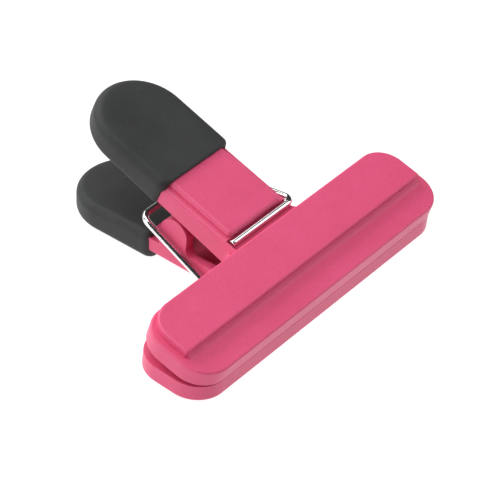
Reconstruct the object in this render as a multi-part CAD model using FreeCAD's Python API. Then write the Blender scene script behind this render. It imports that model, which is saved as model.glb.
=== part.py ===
"""Bag clip: two identical jaws with lever tongues, rubber thumb grips and one bent wire spring.

Half frame of one jaw: X along the jaw, Y from the mouth's front edge back to the grip,
Z out of the mouth face. Clip frame: Z is square to the plane midway between the jaws.
Row frame: the clip lies on a table on its lower jaw and lower grip.
"""
import FreeCAD, Part
import math
import os

V = FreeCAD.Vector

# Jaw bar (mm, degrees).
JAW_LENGTH = 103.0
JAW_DEPTH = 23.5
JAW_CORNER_R = 8.6
MOUTH_CLEARANCE = 0.03
FLANGE_TOP = 4.9
FLANGE_EDGE_R = 0.6
MOUTH_EDGE_R = 0.12
PLATFORM_TOP = 7.2
PLATFORM_FRONT = 8.9
PLATFORM_END_LEDGE = 2.2
PLATFORM_REAR_LEDGE = 0.6
PLATFORM_CORNER_R = 7.6
PLATFORM_EDGE_R = 0.5
COVE_R = 2.0

# Grip ribs on the mouth face.
RIB_STATIONS = (3.6, 6.4, 9.2)
RIB_HALF_LENGTH = 42.0
RIB_HALF_WIDTH = 0.45
RIB_HEIGHT = 0.25

# Lever tongue, a channel that opens towards the other jaw.
TONGUE_HALF_WIDTH = 13.1
TONGUE_WALL = 2.3
TONGUE_FRONT = 27.1
TONGUE_REAR = 49.6
PAD_HALF_WIDTH = 10.8
PAD_TOP = 7.2
PAD_SLOPE = 2.8
PAD_EDGE_R = 1.2
LEDGE_DROP = 1.4
LEDGE_EDGE_R = 1.6
WALL_BOTTOM = -0.2
WALL_SLOPE = 5.6
CHANNEL_DEPTH = 3.2
ROOT_R = 2.2

# Groove that seats the spring's crossbar behind the jaw bar.
GROOVE_FLOOR = 4.45
GROOVE_BLIND_END = -12.1

# Rubber thumb grip over the tongue's D-shaped end.
GRIP_HALF_WIDTH = 13.9
GRIP_THICKNESS = 8.8
GRIP_TAPER = 1.0
GRIP_FRONT = 48.6
GRIP_ARC_CENTRE = 67.6
GRIP_MIDDLE_Z = 4.7
GRIP_SLOPE = 4.9
GRIP_EDGE_R = 2.4
GRIP_CORNER_R = 2.0
RUBBER_WALL = 1.4
CORE_EDGE_R = 1.0
CORE_CORNER_R = 0.5

# Fulcrum ear on one side wall of each tongue, round about the fulcrum axis.
FULCRUM_Y = 41.7
EAR_R = 4.4
EAR_THICKNESS = 3.0
EAR_ROOT_R = 2.2

# Spring: one wire, a torsion bar and two arms that end in crossbars.
WIRE_DIAMETER = 1.86
WIRE_BEND_R = 2.6
WIRE_HALF_WIDTH = 14.4
WIRE_FREE_END = -11.4
CROSSBAR_Y = 25.0
CROSSBAR_Z = 8.0
TORSION_Y = 51.6
TORSION_HALF_LENGTH = 11.0

# Half angle between the two mouth faces when the front edges meet.
JAW_TILT = 5.64

OVERLAP = 0.5
CUT_MARGIN = 5.0


def rounded_wire(corners, lift):
    """Closed wire through (u, v, radius) corners; lift turns (u, v) into a 3D point."""
    edges = []
    ends = []
    count = len(corners)
    for index, (u, v, radius) in enumerate(corners):
        before = corners[index - 1]
        after = corners[(index + 1) % count]
        corner = V(u, v, 0)
        if radius == 0:
            ends.append((corner, corner))
            continue
        to_before = (V(before[0], before[1], 0) - corner).normalize()
        to_after = (V(after[0], after[1], 0) - corner).normalize()
        half = to_before.getAngle(to_after) / 2
        tangent = radius / math.tan(half)
        middle = (to_before + to_after).normalize() * (radius / math.sin(half) - radius)
        start = corner + to_before * tangent
        end = corner + to_after * tangent
        arc = Part.Arc(lift(start), lift(corner + middle), lift(end))
        edges.append(arc.toShape())
        ends.append((start, end))
    for index in range(count):
        start = ends[index][1]
        end = ends[(index + 1) % count][0]
        if start.distanceToPoint(end) > 1e-6:
            edges.append(Part.makeLine(lift(start), lift(end)))
    return Part.Wire(Part.__sortEdges__(edges))


def plan_prism(corners, bottom, top):
    """Prism standing on a plan outline."""
    wire = rounded_wire(corners, lambda p: V(p.x, p.y, bottom))
    return Part.Face(wire).extrude(V(0, 0, top - bottom))


def side_prism(corners, left, right):
    """Prism along X with an outline in Y and Z."""
    wire = rounded_wire(corners, lambda p: V(left, p.x, p.y))
    return Part.Face(wire).extrude(V(right - left, 0, 0))


def edges_near_z(shape, height):
    """Edges that lie in the level plane at this height."""
    found = []
    for edge in shape.Edges:
        box = edge.BoundBox
        if abs(box.ZMin - height) < 1e-4 and abs(box.ZMax - height) < 1e-4:
            found.append(edge)
    return found


def bar_outline(half_length, front, rear, front_r, rear_r):
    """Rounded rectangle, symmetric about X = 0."""
    return [
        (-half_length, front, front_r),
        (half_length, front, front_r),
        (half_length, rear, rear_r),
        (-half_length, rear, rear_r),
    ]


def make_flange():
    outline = bar_outline(JAW_LENGTH / 2, 0, JAW_DEPTH, JAW_CORNER_R, JAW_CORNER_R)
    flange = plan_prism(outline, MOUTH_CLEARANCE, FLANGE_TOP)
    flange = flange.makeFillet(FLANGE_EDGE_R, edges_near_z(flange, FLANGE_TOP))
    return flange.makeFillet(MOUTH_EDGE_R, edges_near_z(flange, MOUTH_CLEARANCE))


def make_platform():
    half_length = JAW_LENGTH / 2 - PLATFORM_END_LEDGE
    rear = JAW_DEPTH - PLATFORM_REAR_LEDGE
    outline = bar_outline(half_length, PLATFORM_FRONT, rear, PLATFORM_EDGE_R, PLATFORM_CORNER_R)
    platform = plan_prism(outline, FLANGE_TOP - OVERLAP, PLATFORM_TOP)
    return platform.makeFillet(PLATFORM_EDGE_R, edges_near_z(platform, PLATFORM_TOP))


def make_cove():
    """Concave foot of the step in front of the platform."""
    half_length = JAW_LENGTH / 2 - PLATFORM_END_LEDGE - PLATFORM_EDGE_R
    foot = PLATFORM_FRONT - COVE_R
    head = FLANGE_TOP + COVE_R
    reach = COVE_R * math.sqrt(0.5)
    inner = V(0, PLATFORM_FRONT + OVERLAP, FLANGE_TOP - OVERLAP)
    arc = Part.Arc(
        V(0, foot, FLANGE_TOP),
        V(0, foot + reach, head - reach),
        V(0, PLATFORM_FRONT, head),
    ).toShape()
    edges = [
        arc,
        Part.makeLine(V(0, PLATFORM_FRONT, head), V(0, inner.y, head)),
        Part.makeLine(V(0, inner.y, head), inner),
        Part.makeLine(inner, V(0, foot, inner.z)),
        Part.makeLine(V(0, foot, inner.z), V(0, foot, FLANGE_TOP)),
    ]
    cove = Part.Face(Part.Wire(edges)).extrude(V(2 * half_length, 0, 0))
    cove.translate(V(-half_length, 0, 0))
    return cove


def make_ribs():
    """Low ribs along the mouth face that hold the bag."""
    ribs = []
    for station in RIB_STATIONS:
        outline = [
            (station - RIB_HALF_WIDTH, MOUTH_CLEARANCE + OVERLAP, 0),
            (station - RIB_HALF_WIDTH, MOUTH_CLEARANCE, 0),
            (station, MOUTH_CLEARANCE - RIB_HEIGHT, 0),
            (station + RIB_HALF_WIDTH, MOUTH_CLEARANCE, 0),
            (station + RIB_HALF_WIDTH, MOUTH_CLEARANCE + OVERLAP, 0),
        ]
        ribs.append(side_prism(outline, -RIB_HALF_LENGTH, RIB_HALF_LENGTH))
    return ribs


def pad_z(y):
    return PAD_TOP + (y - TONGUE_FRONT) * math.tan(math.radians(PAD_SLOPE))


def ledge_z(y):
    return pad_z(y) - LEDGE_DROP


def wall_z(y):
    return WALL_BOTTOM + (y - TONGUE_FRONT) * math.tan(math.radians(WALL_SLOPE))


def make_tongue_box():
    """Side walls, ledges and web of the tongue before it is hollowed."""
    front = JAW_DEPTH - OVERLAP
    outline = [
        (front, wall_z(front), 0),
        (TONGUE_REAR, wall_z(TONGUE_REAR), 0),
        (TONGUE_REAR, ledge_z(TONGUE_REAR), 0),
        (front, ledge_z(front), 0),
    ]
    box = side_prism(outline, -TONGUE_HALF_WIDTH, TONGUE_HALF_WIDTH)
    rims = [edge for edge in box.Edges if is_ledge_rim(edge)]
    return box.makeFillet(LEDGE_EDGE_R, rims)


def is_ledge_rim(edge):
    """True for the long outer edges of the ledges."""
    box = edge.BoundBox
    level = (box.ZMin + box.ZMax) / 2
    middle = (JAW_DEPTH - OVERLAP + TONGUE_REAR) / 2
    return box.YLength > 1 and box.XLength < 1e-4 and abs(level - ledge_z(middle)) < 0.1


def make_pad():
    """Raised centre of the tongue, in front of the grip."""
    outline = [
        (TONGUE_FRONT, 0, 0),
        (TONGUE_REAR, 0, 0),
        (TONGUE_REAR, pad_z(TONGUE_REAR), 0),
        (TONGUE_FRONT, pad_z(TONGUE_FRONT), 0),
    ]
    pad = side_prism(outline, -PAD_HALF_WIDTH, PAD_HALF_WIDTH)
    rims = []
    for edge in pad.Edges:
        box = edge.BoundBox
        is_front = box.YMax < TONGUE_FRONT + 1e-4
        on_top = box.ZMin > pad_z(TONGUE_FRONT) - 1e-4
        is_upright = box.ZLength > 1 and box.YLength < 1e-4
        is_rear = box.YMin > TONGUE_REAR - 1e-4
        if not is_rear and (on_top or (is_upright and is_front)):
            rims.append(edge)
    return pad.makeFillet(PAD_EDGE_R, rims)


def make_channel():
    """Hollow underside of the tongue."""
    front = JAW_DEPTH + TONGUE_WALL
    rear = TONGUE_REAR - TONGUE_WALL
    outline = [
        (front, wall_z(front) - CUT_MARGIN, 0),
        (rear, wall_z(rear) - CUT_MARGIN, 0),
        (rear, wall_z(rear) + CHANNEL_DEPTH, 1),
        (front, wall_z(front) + CHANNEL_DEPTH, 1),
    ]
    inner = TONGUE_HALF_WIDTH - TONGUE_WALL
    return side_prism(outline, -inner, inner)


def make_groove():
    """Seat of the spring's crossbar, open at the side where the wire leaves."""
    outline = [
        (JAW_DEPTH, GROOVE_FLOOR, 0.5),
        (TONGUE_FRONT, GROOVE_FLOOR, 0.5),
        (TONGUE_FRONT, PAD_TOP, 0),
        (JAW_DEPTH, PAD_TOP, 0),
    ]
    return side_prism(outline, GROOVE_BLIND_END, TONGUE_HALF_WIDTH + CUT_MARGIN)


def half_thickness(y, thickness):
    """Distance from the lever's middle plane to its outer face."""
    return thickness / 2 - (y - GRIP_FRONT) * math.tan(math.radians(GRIP_TAPER))


def is_paddle_rim(edge, front, thickness):
    """True for the edges round a paddle's two faces, apart from the front ones."""
    middle = edge.valueAt((edge.FirstParameter + edge.LastParameter) / 2)
    face_height = half_thickness(middle.y, thickness)
    return middle.y > front + 1e-3 and abs(middle.z) > face_height - 1e-3


def d_paddle(half_width, thickness, front, edge_r, corner_r):
    """Tapered D-shaped paddle with rounded long edges, in the half frame."""
    end = GRIP_ARC_CENTRE + half_width
    rear = end + CUT_MARGIN
    front_height = half_thickness(front, thickness)
    rear_height = half_thickness(rear, thickness)
    wedge_outline = [
        (front, -front_height, 0),
        (rear, -rear_height, 0),
        (rear, rear_height, 0),
        (front, front_height, 0),
    ]
    wedge = side_prism(wedge_outline, -half_width - CUT_MARGIN, half_width + CUT_MARGIN)
    column = plan_prism(bar_outline(half_width, front, end, 0, half_width), -thickness, thickness)
    paddle = wedge.common(column)
    rims = [edge for edge in paddle.Edges if is_paddle_rim(edge, front, thickness)]
    paddle = paddle.makeFillet(edge_r, rims)
    blunt = plan_prism(bar_outline(half_width, front, rear, corner_r, 0), -thickness, thickness)
    paddle = paddle.common(blunt)
    paddle.translate(V(0, 0, GRIP_MIDDLE_Z))
    paddle.rotate(V(0, GRIP_FRONT, GRIP_MIDDLE_Z), V(1, 0, 0), GRIP_SLOPE)
    return paddle


def make_core():
    """End of the tongue that the rubber covers."""
    half_width = GRIP_HALF_WIDTH - RUBBER_WALL
    thickness = GRIP_THICKNESS - 2 * RUBBER_WALL
    front = TONGUE_REAR - OVERLAP
    return d_paddle(half_width, thickness, front, CORE_EDGE_R, CORE_CORNER_R)


def make_ear():
    """Fulcrum ear, flush with the tongue's side wall and round about the fulcrum axis."""
    tilt = math.radians(JAW_TILT)
    axis_y = FULCRUM_Y * math.cos(tilt)
    axis_z = -FULCRUM_Y * math.sin(tilt)
    front = axis_y - EAR_R
    rear = axis_y + EAR_R
    root = wall_z(front)
    top = root + CHANNEL_DEPTH
    edges = [
        Part.makeLine(V(0, rear, top), V(0, rear, axis_z)),
        Part.Arc(V(0, rear, axis_z), V(0, axis_y, axis_z - EAR_R), V(0, front, axis_z)).toShape(),
        Part.makeLine(V(0, front, axis_z), V(0, front, root - EAR_ROOT_R)),
        Part.Arc(
            V(0, front, root - EAR_ROOT_R),
            V(0, front - EAR_ROOT_R * (1 - math.sqrt(0.5)), root - EAR_ROOT_R * (1 - math.sqrt(0.5))),
            V(0, front - EAR_ROOT_R, root),
        ).toShape(),
        Part.makeLine(V(0, front - EAR_ROOT_R, root), V(0, front - EAR_ROOT_R, top)),
        Part.makeLine(V(0, front - EAR_ROOT_R, top), V(0, rear, top)),
    ]
    ear = Part.Face(Part.Wire(edges)).extrude(V(EAR_THICKNESS, 0, 0))
    ear.translate(V(TONGUE_HALF_WIDTH - EAR_THICKNESS, 0, 0))
    return ear


def make_root_web():
    """Concave corner between the tongue's side wall and the bar's rear wall."""
    inner_x = TONGUE_HALF_WIDTH - OVERLAP
    outer_x = TONGUE_HALF_WIDTH + ROOT_R
    inner_y = JAW_DEPTH - OVERLAP
    outer_y = JAW_DEPTH + ROOT_R
    bottom = MOUTH_CLEARANCE + MOUTH_EDGE_R
    reach = ROOT_R * math.sqrt(0.5)
    edges = [
        Part.Arc(
            V(outer_x, JAW_DEPTH, bottom),
            V(outer_x - reach, outer_y - reach, bottom),
            V(TONGUE_HALF_WIDTH, outer_y, bottom),
        ).toShape(),
        Part.makeLine(V(TONGUE_HALF_WIDTH, outer_y, bottom), V(inner_x, outer_y, bottom)),
        Part.makeLine(V(inner_x, outer_y, bottom), V(inner_x, inner_y, bottom)),
        Part.makeLine(V(inner_x, inner_y, bottom), V(outer_x, inner_y, bottom)),
        Part.makeLine(V(outer_x, inner_y, bottom), V(outer_x, JAW_DEPTH, bottom)),
    ]
    return Part.Face(Part.Wire(edges)).extrude(V(0, 0, GROOVE_FLOOR - bottom))


def make_jaw():
    """One jaw in its half frame, in one piece."""
    bar = make_flange().fuse([make_platform(), make_cove()] + make_ribs())
    tongue = make_tongue_box().fuse(make_pad())
    tongue = tongue.cut(make_groove())
    tongue = tongue.cut(make_channel())
    web = make_root_web()
    webs = [web, web.mirror(V(0, 0, 0), V(1, 0, 0))]
    jaw = bar.fuse([tongue, make_core(), make_ear()] + webs)
    return jaw.removeSplitter()


def make_grip():
    """Rubber sleeve over the tongue's end."""
    outer = d_paddle(GRIP_HALF_WIDTH, GRIP_THICKNESS, GRIP_FRONT, GRIP_EDGE_R, GRIP_CORNER_R)
    tongue = make_tongue_box().fuse([make_pad(), make_core()])
    return outer.cut(tongue)


def wire_tube(points, bends):
    """Round wire through the points, with a bend radius at each inner point."""
    edges = []
    start = points[0]
    for index in range(1, len(points) - 1):
        corner = points[index]
        back = (points[index - 1] - corner).normalize()
        ahead = (points[index + 1] - corner).normalize()
        half = back.getAngle(ahead) / 2
        tangent = bends / math.tan(half)
        middle = (back + ahead).normalize() * (bends / math.sin(half) - bends)
        edges.append(Part.makeLine(start, corner + back * tangent))
        arc = Part.Arc(corner + back * tangent, corner + middle, corner + ahead * tangent)
        edges.append(arc.toShape())
        start = corner + ahead * tangent
    edges.append(Part.makeLine(start, points[-1]))
    path = Part.Wire(edges)
    direction = points[1] - points[0]
    section = Part.Wire(Part.Circle(points[0], direction, WIRE_DIAMETER / 2).toShape())
    return path.makePipeShell([section], True, False)


def make_spring_arm():
    """Arm that presses on the upper jaw, in the clip frame."""
    points = [
        V(TORSION_HALF_LENGTH, TORSION_Y, 0),
        V(WIRE_HALF_WIDTH, TORSION_Y, 0),
        V(WIRE_HALF_WIDTH, CROSSBAR_Y, CROSSBAR_Z),
        V(WIRE_FREE_END, CROSSBAR_Y, CROSSBAR_Z),
    ]
    return wire_tube(points, WIRE_BEND_R)


def make_torsion_bar():
    start = V(-TORSION_HALF_LENGTH, TORSION_Y, 0)
    return Part.makeCylinder(WIRE_DIAMETER / 2, 2 * TORSION_HALF_LENGTH, start, V(1, 0, 0))


def tilted(shape):
    """From the half frame into the clip frame, as the upper half."""
    placed = shape.copy()
    placed.rotate(V(0, 0, 0), V(1, 0, 0), JAW_TILT)
    return placed


def turned_over(shape):
    """The lower half is the upper one turned over about the Y axis."""
    placed = shape.copy()
    placed.rotate(V(0, 0, 0), V(0, 1, 0), 180)
    return placed


def half_to_clip(y, z):
    tilt = math.radians(JAW_TILT)
    return y * math.cos(tilt) - z * math.sin(tilt), y * math.sin(tilt) + z * math.cos(tilt)


def rest_angle():
    """Slope of the line that touches the platform's front edge and the grip's end."""
    slope = math.radians(GRIP_SLOPE)
    round_y = GRIP_ARC_CENTRE + GRIP_HALF_WIDTH - GRIP_EDGE_R
    reach = round_y - GRIP_FRONT
    fillet_drop = GRIP_EDGE_R / math.cos(math.radians(GRIP_TAPER))
    drop = half_thickness(round_y, GRIP_THICKNESS) - fillet_drop
    grip_y = GRIP_FRONT + reach * math.cos(slope) - drop * math.sin(slope)
    grip_z = GRIP_MIDDLE_Z + reach * math.sin(slope) + drop * math.cos(slope)
    platform_y = PLATFORM_FRONT + PLATFORM_EDGE_R
    platform_z = PLATFORM_TOP - PLATFORM_EDGE_R
    grip = half_to_clip(grip_y, grip_z)
    platform = half_to_clip(platform_y, platform_z)
    run = grip[0] - platform[0]
    fall = grip[1] - platform[1]
    bulge = (GRIP_EDGE_R - PLATFORM_EDGE_R) / math.hypot(run, fall)
    return math.degrees(math.atan2(fall, run) + math.asin(bulge))


def build_nodes():
    """All nodes in the clip frame."""
    jaw = make_jaw()
    grip = make_grip()
    arm = make_spring_arm()
    return {
        "upper_jaw": tilted(jaw),
        "upper_grip": tilted(grip),
        "lower_jaw": turned_over(tilted(jaw)),
        "lower_grip": turned_over(tilted(grip)),
        "spring_upper_arm": arm,
        "spring_torsion_bar": make_torsion_bar(),
        "spring_lower_arm": turned_over(arm),
    }


def place_on_table(nodes):
    """Tilt the clip onto its lower jaw and grip, and centre it over the origin."""
    angle = rest_angle()
    for shape in nodes.values():
        shape.rotate(V(0, 0, 0), V(1, 0, 0), angle)
    box = Part.makeCompound(list(nodes.values())).optimalBoundingBox(False)
    shift = V(0, -(box.YMin + box.YMax) / 2, -box.ZMin)
    for shape in nodes.values():
        shape.translate(shift)
    return angle, shift


def clip_point(y, z, angle, shift):
    """A clip-frame point in the row frame."""
    turn = math.radians(angle)
    row_y = y * math.cos(turn) - z * math.sin(turn) + shift.y
    row_z = y * math.sin(turn) + z * math.cos(turn) + shift.z
    return round(row_y, 3), round(row_z, 3)


def main():
    os.makedirs("parts", exist_ok=True)
    nodes = build_nodes()
    angle, shift = place_on_table(nodes)
    for name, shape in nodes.items():
        shape.exportStep("parts/" + name + ".step")
        size = shape.BoundBox
        print(name, "solids", len(shape.Solids), "valid", shape.isValid(), "volume", round(shape.Volume, 1))
        print("   box", round(size.XMin, 2), round(size.YMin, 2), round(size.ZMin, 2),
              round(size.XMax, 2), round(size.YMax, 2), round(size.ZMax, 2))
    print("rest angle", round(angle, 3), "shift", round(shift.y, 3), round(shift.z, 3))
    print("fulcrum axis y, z", clip_point(FULCRUM_Y, 0, angle, shift))
    print("torsion axis y, z", clip_point(TORSION_Y, 0, angle, shift))


main()
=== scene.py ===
"""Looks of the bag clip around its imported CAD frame: camera, light, materials, grips and wire."""

import math

import bmesh
import bpy
from mathutils import Matrix, Vector


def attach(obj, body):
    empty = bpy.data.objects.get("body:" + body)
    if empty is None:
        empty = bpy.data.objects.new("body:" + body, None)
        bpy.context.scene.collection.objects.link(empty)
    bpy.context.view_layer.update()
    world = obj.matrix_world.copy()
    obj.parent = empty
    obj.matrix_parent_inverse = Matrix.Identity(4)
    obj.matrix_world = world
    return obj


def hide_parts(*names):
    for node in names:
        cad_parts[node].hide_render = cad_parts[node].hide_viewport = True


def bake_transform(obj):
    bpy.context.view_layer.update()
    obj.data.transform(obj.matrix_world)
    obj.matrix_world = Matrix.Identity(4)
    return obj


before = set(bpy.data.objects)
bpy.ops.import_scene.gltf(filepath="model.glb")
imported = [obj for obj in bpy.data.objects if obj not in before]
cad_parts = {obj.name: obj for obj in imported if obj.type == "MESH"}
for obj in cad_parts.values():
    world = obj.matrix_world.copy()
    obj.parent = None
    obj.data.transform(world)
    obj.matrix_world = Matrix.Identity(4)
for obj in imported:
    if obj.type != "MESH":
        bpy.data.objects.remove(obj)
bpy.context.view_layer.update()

MM = 0.001

# The clip's resting place in the row frame, as the CAD has it (degrees, mm).
REST_ANGLE = 8.911
ROW_SHIFT = (0.0, -40.309, 6.653)
JAW_TILT = 5.64

# Thumb grip, in the half frame of one jaw (mm, degrees).
GRIP_HALF_WIDTH = 13.9
GRIP_FRONT = 48.6
GRIP_ARC_CENTRE = 67.6
GRIP_MIDDLE_Z = 4.7
GRIP_SLOPE = 4.9
GRIP_THICKNESS = 8.8
GRIP_TAPER = 1.0
GRIP_EDGE_R = 2.4
GRIP_INNER_EDGE_R = 1.0
GRIP_CORNER_R = 2.0
GRIP_LIP_R = 0.45
RUBBER_WALL = 1.4
DISH_DEPTH = 0.45
DISH_CENTRE = GRIP_ARC_CENTRE - 4.5
DISH_HALF_WIDTH = GRIP_HALF_WIDTH - 3.0
DISH_HALF_LENGTH = 15.0
DISH_FLOOR_SHARE = 0.25

# How finely the grip's skin is cut: closely behind its front lip, then evenly (mm).
LIP_STATIONS = (0.0, 0.06, 0.15, 0.3, 0.5, 0.8, 1.2, 1.6, 2.0, 3.0, 4.4)
SIDE_START = 6.0
SIDE_STEP = 1.2
SIDE_END_GAP = 0.5
END_STEPS = 48
FACE_STEPS = 9
EDGE_STEPS = 9

# Spring wire, in the clip frame (mm).
WIRE_R = 0.93
WIRE_BEND_R = 2.6
WIRE_HALF_WIDTH = 14.4
WIRE_FREE_END = -11.4
WIRE_END_ROUND = 0.18
CROSSBAR_Y = 25.0
CROSSBAR_Z = 8.0
TORSION_Y = 51.6
WIRE_SIDES = 28
WIRE_BEND_STEPS = 12
WIRE_RUN_STEP = 1.0

# Camera: the photo's point of view, fitted to its outlines (degrees, mm, row frame).
CAMERA_AZIMUTH = -54.104
CAMERA_ELEVATION = 38.543
CAMERA_ROLL = 4.201
CAMERA_DISTANCE = 707.735
CAMERA_TARGET = (18.404, 2.167, -8.098)
CAMERA_LENS = 193.4625
CAMERA_SENSOR = 36.0

# Stage (metres).
FLOOR_SIZE = 6.0
FLOOR_DROP = 0.00005
LIGHT_AIM = Vector((0, 0, 0.01))
WORLD_LEVEL = 0.04


def rot_x(degrees):
    return Matrix.Rotation(math.radians(degrees), 4, "X")


CLIP_TO_ROW = Matrix.Translation(Vector(ROW_SHIFT) * MM) @ rot_x(REST_ANGLE) @ Matrix.Scale(MM, 4)
UPPER_TO_ROW = CLIP_TO_ROW @ rot_x(JAW_TILT)
LOWER_TO_ROW = CLIP_TO_ROW @ Matrix.Rotation(math.pi, 4, "Y") @ rot_x(JAW_TILT)


# ---------------------------------------------------------------- meshes

def new_mesh(name, verts, faces, matrix):
    """Mesh object in the row frame, smooth, with outward normals."""
    mesh = bpy.data.meshes.new(name)
    mesh.from_pydata([matrix @ Vector(v) for v in verts], [], faces)
    mesh.validate()
    bm = bmesh.new()
    bm.from_mesh(mesh)
    bmesh.ops.remove_doubles(bm, verts=bm.verts, dist=1e-6)
    bmesh.ops.recalc_face_normals(bm, faces=bm.faces)
    bm.to_mesh(mesh)
    bm.free()
    mesh.polygons.foreach_set("use_smooth", [True] * len(mesh.polygons))
    obj = bpy.data.objects.new(name, mesh)
    bpy.context.scene.collection.objects.link(obj)
    return obj


def smoothstep(low, high, value):
    t = min(max((value - low) / (high - low), 0.0), 1.0)
    return t * t * (3 - 2 * t)


def grip_stations():
    """(side, way back along it, turn round the end): up the left side, round the end, down the right."""
    run = GRIP_ARC_CENTRE - GRIP_FRONT
    sides = list(LIP_STATIONS)
    back = SIDE_START
    while back < run - SIDE_END_GAP:
        sides.append(back)
        back += SIDE_STEP
    sides.append(run)
    left = [(-1, along, None) for along in sides]
    end = [(0, None, math.pi * i / END_STEPS) for i in range(1, END_STEPS)]
    right = [(1, along, None) for along in reversed(sides)]
    return left + end + right


def corner_loss(distance, radius):
    """How much a round corner of this radius takes off at this distance from the end."""
    if distance >= radius:
        return 0.0
    return radius - math.sqrt(max(radius * radius - (radius - distance) ** 2, 0.0))


def grip_section(half_width, edge_r):
    """(reach, face, drop) from the lower face (-1) round the edge (0) to the upper face (1)."""
    flat = half_width - edge_r
    half = [(flat * i / FACE_STEPS, 0.0) for i in range(FACE_STEPS)]
    for i in range(EDGE_STEPS + 1):
        turn = math.pi / 2 * i / EDGE_STEPS
        half.append((flat + edge_r * math.sin(turn), edge_r * (1 - math.cos(turn))))
    lower = [(reach, -1, drop) for reach, drop in half]
    upper = [(reach, 1, drop) for reach, drop in reversed(half)]
    return lower + [(half_width, 0, 0.0)] + upper


def dish(x, y):
    """Depth of the shallow thumb dish in the outer face."""
    out = math.hypot(x / DISH_HALF_WIDTH, (y - DISH_CENTRE) / DISH_HALF_LENGTH)
    return DISH_DEPTH * (1 - smoothstep(DISH_FLOOR_SHARE, 1.0, out))


def grip_shell(wall):
    """Points of the grip's skin, wall mm inside its outer surface, one list per station."""
    outer = wall == 0
    edge_r = GRIP_EDGE_R if outer else GRIP_INNER_EDGE_R
    rows = []
    for side, along, angle in grip_stations():
        half_width = GRIP_HALF_WIDTH - wall
        lip = 0.0
        if outer and along is not None:
            half_width -= corner_loss(along, GRIP_CORNER_R)
            lip = corner_loss(along, GRIP_LIP_R)
        row = []
        for reach, face, drop in grip_section(half_width, edge_r):
            if angle is None:
                x = side * reach
                y = GRIP_FRONT + along
            else:
                x = -reach * math.cos(angle)
                y = GRIP_ARC_CENTRE + reach * math.sin(angle)
            thick = GRIP_THICKNESS / 2 - (y - GRIP_FRONT) * math.tan(math.radians(GRIP_TAPER))
            z = face * (thick - wall - lip - drop)
            if outer and face > 0:
                z -= dish(x, y)
            row.append((x, y, z))
        rows.append(row)
    return rows


def grip_mesh():
    """Points and faces of the sleeve: outer skin, inner skin and the front rim between them."""
    shells = (grip_shell(0), grip_shell(RUBBER_WALL))
    stations = len(shells[0])
    around = len(shells[0][0])
    inner_base = stations * around
    verts = [point for shell in shells for row in shell for point in row]
    faces = []
    for base in (0, inner_base):
        for i in range(stations - 1):
            for j in range(around - 1):
                a = base + i * around + j
                faces.append((a, a + 1, a + around + 1, a + around))
    for start in (0, (stations - 1) * around):
        for j in range(around - 1):
            a = start + j
            b = inner_base + a
            faces.append((a, a + 1, b + 1, b))
    return verts, faces


def make_grip(name, to_row, body, node):
    verts, faces = grip_mesh()
    slope = (
        Matrix.Translation(Vector((0, GRIP_FRONT, GRIP_MIDDLE_Z)))
        @ rot_x(GRIP_SLOPE)
        @ Matrix.Translation(Vector((0, -GRIP_FRONT, 0)))
    )
    obj = new_mesh(name, verts, faces, to_row @ slope)
    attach(obj, body)
    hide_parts(node)
    return obj


def rounded_path(corners, radius, bend_steps, run_step):
    """Points along straight runs joined by round bends."""
    points = [Vector(corners[0])]
    for i in range(1, len(corners) - 1):
        corner = Vector(corners[i])
        back = (Vector(corners[i - 1]) - corner).normalized()
        ahead = (Vector(corners[i + 1]) - corner).normalized()
        half = back.angle(ahead) / 2
        tangent = radius / math.tan(half)
        start = corner + back * tangent
        end = corner + ahead * tangent
        centre = corner + (back + ahead).normalized() * (radius / math.sin(half))
        points += run_between(points[-1], start, run_step)
        a = start - centre
        b = end - centre
        sweep = a.angle(b)
        for k in range(1, bend_steps + 1):
            t = k / bend_steps
            turned = a * math.sin((1 - t) * sweep) + b * math.sin(t * sweep)
            points.append(centre + turned / math.sin(sweep))
    points += run_between(points[-1], Vector(corners[-1]), run_step)
    return points


def run_between(start, end, step):
    length = (end - start).length
    count = max(1, round(length / step))
    return [start.lerp(end, k / count) for k in range(1, count + 1)]


def sweep_tube(path, radius, sides, end_round):
    """Closed round tube along the path, with slightly rounded cut ends."""
    rings = []
    normal = None
    for i, point in enumerate(path):
        before = path[max(i - 1, 0)]
        after = path[min(i + 1, len(path) - 1)]
        tangent = (after - before).normalized()
        if normal is None:
            normal = tangent.orthogonal().normalized()
        else:
            normal = (normal - tangent * normal.dot(tangent)).normalized()
        rings.append((point, tangent, normal))
    # Way in from the cut and loss of radius there: a small quarter-round in three steps.
    cut_steps = ((0.0, end_round), (end_round * 0.3, end_round * 0.3), (end_round, 0.0))
    point, tangent, normal = rings[0]
    full = [(point + tangent * way, tangent, normal, radius - loss) for way, loss in cut_steps]
    full += [(*ring, radius) for ring in rings[1:-1]]
    point, tangent, normal = rings[-1]
    full += [(point - tangent * way, tangent, normal, radius - loss) for way, loss in reversed(cut_steps)]
    verts = []
    faces = []
    for point, tangent, normal, r in full:
        side = tangent.cross(normal)
        for k in range(sides):
            a = 2 * math.pi * k / sides
            verts.append(point + (normal * math.cos(a) + side * math.sin(a)) * r)
    for i in range(len(full) - 1):
        for k in range(sides):
            a = i * sides + k
            b = i * sides + (k + 1) % sides
            faces.append((a, b, b + sides, a + sides))
    faces.append(tuple(range(sides)))
    end = (len(full) - 1) * sides
    faces.append(tuple(range(end, end + sides)))
    return verts, faces


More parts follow.
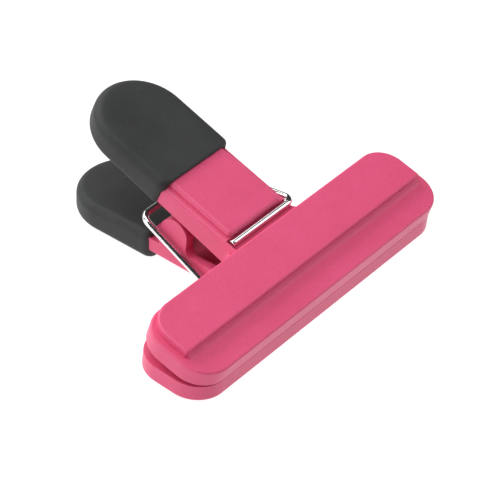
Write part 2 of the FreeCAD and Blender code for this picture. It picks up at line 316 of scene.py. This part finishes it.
def make_wire():
    corners = [
        (-WIRE_FREE_END, CROSSBAR_Y, -CROSSBAR_Z),
        (-WIRE_HALF_WIDTH, CROSSBAR_Y, -CROSSBAR_Z),
        (-WIRE_HALF_WIDTH, TORSION_Y, 0),
        (WIRE_HALF_WIDTH, TORSION_Y, 0),
        (WIRE_HALF_WIDTH, CROSSBAR_Y, CROSSBAR_Z),
        (WIRE_FREE_END, CROSSBAR_Y, CROSSBAR_Z),
    ]
    path = rounded_path(corners, WIRE_BEND_R, WIRE_BEND_STEPS, WIRE_RUN_STEP)
    verts, faces = sweep_tube(path, WIRE_R, WIRE_SIDES, WIRE_END_ROUND)
    obj = new_mesh("spring_wire", verts, faces, CLIP_TO_ROW)
    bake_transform(obj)
    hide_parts("spring_lower_arm", "spring_torsion_bar", "spring_upper_arm")
    return obj


# ---------------------------------------------------------------- materials

def material(name, color, roughness):
    mat = bpy.data.materials.new(name)
    mat.use_nodes = True
    shader = mat.node_tree.nodes["Principled BSDF"]
    shader.inputs["Base Color"].default_value = (*color, 1)
    shader.inputs["Roughness"].default_value = roughness
    return mat, mat.node_tree, shader


def add_noise(tree, scale, detail, rough=0.5):
    """Noise in the object's own space, scale in cells per metre."""
    coord = tree.nodes.new("ShaderNodeTexCoord")
    noise = tree.nodes.new("ShaderNodeTexNoise")
    noise.inputs["Scale"].default_value = scale
    noise.inputs["Detail"].default_value = detail
    noise.inputs["Roughness"].default_value = rough
    tree.links.new(coord.outputs["Object"], noise.inputs["Vector"])
    return noise


def add_ramp(tree, source, stops):
    """Colour ramp with (position, colour) stops."""
    ramp = tree.nodes.new("ShaderNodeValToRGB")
    elements = ramp.color_ramp.elements
    elements[0].position, first = stops[0]
    elements[0].color = (*first, 1)
    elements[1].position, last = stops[-1]
    elements[1].color = (*last, 1)
    for position, color in stops[1:-1]:
        elements.new(position).color = (*color, 1)
    tree.links.new(source, ramp.inputs["Fac"])
    return ramp


def add_bump(tree, shader, height, distance, strength, before=None):
    """Bump, distance in metres, on top of an earlier bump where one is given."""
    bump = tree.nodes.new("ShaderNodeBump")
    bump.inputs["Distance"].default_value = distance
    bump.inputs["Strength"].default_value = strength
    tree.links.new(height, bump.inputs["Height"])
    if before is not None:
        tree.links.new(before.outputs["Normal"], bump.inputs["Normal"])
    tree.links.new(bump.outputs["Normal"], shader.inputs["Normal"])
    return bump


def gray(level):
    return (level, level, level)


def make_pink():
    """Moulded plastic with a fine pale grain and slight sink marks."""
    mat, tree, shader = material("jaw_plastic", (0.72, 0.085, 0.195), 0.38)
    shader.inputs["Specular IOR Level"].default_value = 0.35
    cloud = add_noise(tree, 90.0, 3.0)
    tint = add_ramp(tree, cloud.outputs["Fac"], [
        (0.30, (0.727, 0.090, 0.200)), (0.55, (0.747, 0.095, 0.210)), (0.75, (0.768, 0.100, 0.219))])
    grain = add_noise(tree, 1500.0, 3.0, 0.7)
    pale = add_ramp(tree, grain.outputs["Fac"], [(0.3, (0.94, 0.84, 0.89)), (0.7, (1.0, 1.0, 1.0))])
    mottle = tree.nodes.new("ShaderNodeMix")
    mottle.data_type = "RGBA"
    mottle.blend_type = "MULTIPLY"
    mottle.inputs["Factor"].default_value = 1.0
    tree.links.new(tint.outputs["Color"], mottle.inputs["A"])
    tree.links.new(pale.outputs["Color"], mottle.inputs["B"])
    tree.links.new(mottle.outputs["Result"], shader.inputs["Base Color"])
    rough = add_ramp(tree, grain.outputs["Fac"], [(0.3, gray(0.30)), (0.7, gray(0.44))])
    tree.links.new(rough.outputs["Color"], shader.inputs["Roughness"])
    fine = add_bump(tree, shader, grain.outputs["Fac"], 0.07 * MM, 1.0)
    sink = add_noise(tree, 160.0, 2.0)
    add_bump(tree, shader, sink.outputs["Fac"], 0.06 * MM, 0.4, before=fine)
    return mat


def make_rubber():
    """Dark matt rubber with a few faint specks of dust."""
    mat, tree, shader = material("grip_rubber", (0.026, 0.027, 0.028), 0.60)
    shader.inputs["Specular IOR Level"].default_value = 0.35
    shader.inputs["Sheen Weight"].default_value = 0.05
    shader.inputs["Sheen Roughness"].default_value = 0.5
    cloud = add_noise(tree, 120.0, 4.0)
    tint = add_ramp(tree, cloud.outputs["Fac"], [
        (0.30, (0.021, 0.022, 0.022)), (0.70, (0.029, 0.030, 0.030))])
    specks = add_noise(tree, 900.0, 1.0)
    dots = add_ramp(tree, specks.outputs["Fac"], [(0.0, gray(0.0)), (0.72, gray(0.0)), (0.78, gray(1.0))])
    mix = tree.nodes.new("ShaderNodeMix")
    mix.data_type = "RGBA"
    tree.links.new(dots.outputs["Color"], mix.inputs["Factor"])
    tree.links.new(tint.outputs["Color"], mix.inputs["A"])
    mix.inputs["B"].default_value = (0.050, 0.052, 0.052, 1)
    tree.links.new(mix.outputs["Result"], shader.inputs["Base Color"])
    grain = add_noise(tree, 4200.0, 3.0, 0.6)
    rough = add_ramp(tree, grain.outputs["Fac"], [(0.3, gray(0.54)), (0.7, gray(0.70))])
    tree.links.new(rough.outputs["Color"], shader.inputs["Roughness"])
    add_bump(tree, shader, grain.outputs["Fac"], 0.04 * MM, 0.7)
    return mat


def make_chrome():
    """Bright drawn wire."""
    mat, tree, shader = material("spring_chrome", (0.86, 0.86, 0.86), 0.10)
    shader.inputs["Metallic"].default_value = 1.0
    draw = add_noise(tree, 500.0, 2.0)
    rough = add_ramp(tree, draw.outputs["Fac"], [(0.3, gray(0.07)), (0.7, gray(0.10))])
    tree.links.new(rough.outputs["Color"], shader.inputs["Roughness"])
    tint = add_ramp(tree, draw.outputs["Fac"], [(0.3, (0.82, 0.82, 0.83)), (0.7, (0.90, 0.89, 0.88))])
    tree.links.new(tint.outputs["Color"], shader.inputs["Base Color"])
    add_bump(tree, shader, draw.outputs["Fac"], 0.01 * MM, 0.05)
    return mat


def paint(obj, mat):
    obj.data.materials.clear()
    obj.data.materials.append(mat)


# ---------------------------------------------------------------- stage

def make_floor():
    bpy.ops.mesh.primitive_plane_add(size=FLOOR_SIZE, location=(0, 0, -FLOOR_DROP))
    floor = bpy.context.object
    floor.name = "floor"
    mat, _, shader = material("floor_pale", (0.20, 0.20, 0.20), 0.8)
    shader.inputs["Specular IOR Level"].default_value = 0.2
    shader.inputs["Emission Color"].default_value = (1, 1, 1, 1)
    shader.inputs["Emission Strength"].default_value = 0.95
    paint(floor, mat)


def softbox(name, direction, distance, width, height, radiance):
    """Rectangular light that faces the clip and looks this bright in a mirror."""
    place = LIGHT_AIM + Vector(direction).normalized() * distance
    light = bpy.data.lights.new(name, "AREA")
    light.shape = "RECTANGLE"
    light.size = width
    light.size_y = height
    light.energy = radiance * math.pi * width * height
    obj = bpy.data.objects.new(name, light)
    obj.location = place
    obj.rotation_euler = (LIGHT_AIM - place).to_track_quat("-Z", "Y").to_euler()
    bpy.context.scene.collection.objects.link(obj)
    return obj


def make_lights():
    """Soft studio light; the front box fills the shade but shows in no mirror."""
    softbox("overhead", (-0.14, 0.10, 0.97), 0.80, 0.44, 0.44, 3.7)
    front = softbox("front", (-0.20, -0.38, 0.90), 0.80, 0.50, 0.50, 1.9)
    front.visible_glossy = False
    softbox("kicker", (0.42, 0.44, 0.76), 0.85, 0.45, 0.45, 1.9)
    softbox("strip", (0.68, -0.50, 0.53), 0.80, 0.36, 0.80, 1.6)
    softbox("fill", (-0.86, 0.36, 0.36), 0.90, 0.55, 0.45, 3.4)
    softbox("rear", (-0.10, 0.80, 0.60), 0.90, 0.80, 0.30, 7.2)


def make_world(level):
    world = bpy.data.worlds.new("studio")
    world.use_nodes = True
    background = world.node_tree.nodes["Background"]
    background.inputs["Color"].default_value = (level, level, level, 1)
    background.inputs["Strength"].default_value = 1.0
    bpy.context.scene.world = world


def make_camera():
    azimuth = math.radians(CAMERA_AZIMUTH)
    elevation = math.radians(CAMERA_ELEVATION)
    back = Vector((
        math.sin(azimuth) * math.cos(elevation),
        -math.cos(azimuth) * math.cos(elevation),
        math.sin(elevation),
    ))
    right = Vector((math.cos(azimuth), math.sin(azimuth), 0))
    up = back.cross(right)
    roll = math.radians(CAMERA_ROLL)
    rolled_right = right * math.cos(roll) + up * math.sin(roll)
    rolled_up = up * math.cos(roll) - right * math.sin(roll)
    position = (Vector(CAMERA_TARGET) + back * CAMERA_DISTANCE) * MM
    data = bpy.data.cameras.new("camera")
    data.sensor_width = CAMERA_SENSOR
    data.lens = CAMERA_LENS
    data.clip_start = 0.01
    data.clip_end = 20.0
    obj = bpy.data.objects.new("camera", data)
    turn = Matrix((rolled_right, rolled_up, back)).transposed().to_4x4()
    obj.matrix_world = Matrix.Translation(position) @ turn
    bpy.context.scene.collection.objects.link(obj)
    bpy.context.scene.camera = obj


def main():
    pink = make_pink()
    rubber = make_rubber()
    chrome = make_chrome()
    for node in ("upper_jaw", "lower_jaw"):
        paint(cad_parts[node], pink)
    for node in ("upper_grip", "lower_grip"):
        paint(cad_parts[node], rubber)
    for node in ("spring_upper_arm", "spring_torsion_bar", "spring_lower_arm"):
        paint(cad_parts[node], chrome)
    paint(make_grip("upper_grip_rubber", UPPER_TO_ROW, "upper_half", "upper_grip"), rubber)
    paint(make_grip("lower_grip_rubber", LOWER_TO_ROW, "lower_half", "lower_grip"), rubber)
    paint(make_wire(), chrome)
    make_floor()
    make_camera()
    make_world(WORLD_LEVEL)
    make_lights()
    bpy.context.scene.view_settings.view_transform = "Standard"
    bpy.context.scene.view_settings.look = "None"


main()
